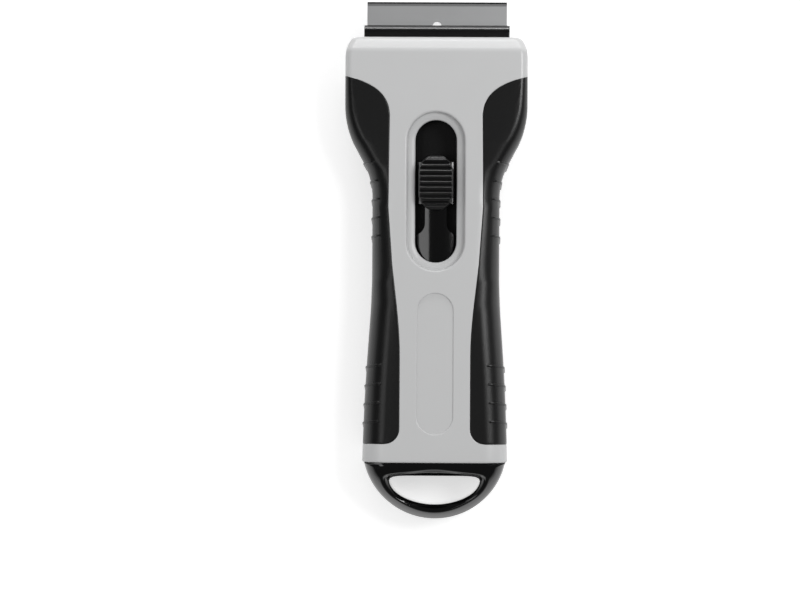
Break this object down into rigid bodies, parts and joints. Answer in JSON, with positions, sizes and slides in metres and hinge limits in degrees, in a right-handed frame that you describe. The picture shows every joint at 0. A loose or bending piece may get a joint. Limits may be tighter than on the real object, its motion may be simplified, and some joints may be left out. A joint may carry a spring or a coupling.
{
  "type": "ceramic hob scraper",
  "caption": "Hand-held ceramic hob scraper: a sliding, locking blade holder in a two-shell handle with soft side grips, a hanging loop and a pull-out magazine of spare blades.",
  "frame": {"origin": "on the flat back of the housing, on its middle line", "axes": "+Y along the handle to the blade, +Z away from the back, out of the side with the button, +X to the right"},
  "size_m": [0.0508, 0.1441, 0.0212],
  "materials": {
    "shell_grey": "satin",
    "soft_black": "matt",
    "gloss_black": "gloss",
    "moulded_black": "satin",
    "blade_steel": "brushed",
    "screw_steel": "plain"
  },
  "bodies": {
    "housing": {"top_shell": "shell_grey", "bottom_shell": "shell_grey", "left_grip": "soft_black", "right_grip": "soft_black", "housing_screws": "screw_steel"},
    "slider": {"blade_carrier": "moulded_black", "blade_clamp": "moulded_black", "clamp_screw": "screw_steel", "blade": "blade_steel", "lever_pin": "screw_steel", "return_spring": "screw_steel"},
    "button": {"lock_lever": "gloss_black", "thumb_button": "soft_black"},
    "magazine": {"hanging_loop": "gloss_black", "blade_tray": "moulded_black", "spare_blade_1": "blade_steel", "spare_blade_2": "blade_steel", "spare_blade_3": "blade_steel", "spare_blade_4": "blade_steel", "spare_blade_5": "blade_steel"}
  },
  "joints": [
    {"name": "blade_slide", "type": "slide", "parent": "housing", "child": "slider", "axis": [0, 1, 0], "range_m": [-0.0136, 0.0095]},
    {"name": "button_press", "type": "hinge", "parent": "slider", "child": "button", "pos_m": [0, 0.0031, 0.0118], "axis": [-1, 0, 0], "range_deg": [0, 3], "stiffness_Nm_per_rad": 0.4, "deforming": ["return_spring"]},
    {"name": "magazine_pull", "type": "slide", "parent": "housing", "child": "magazine", "axis": [0, -1, 0], "range_m": [0, 0.038]}
  ]
}
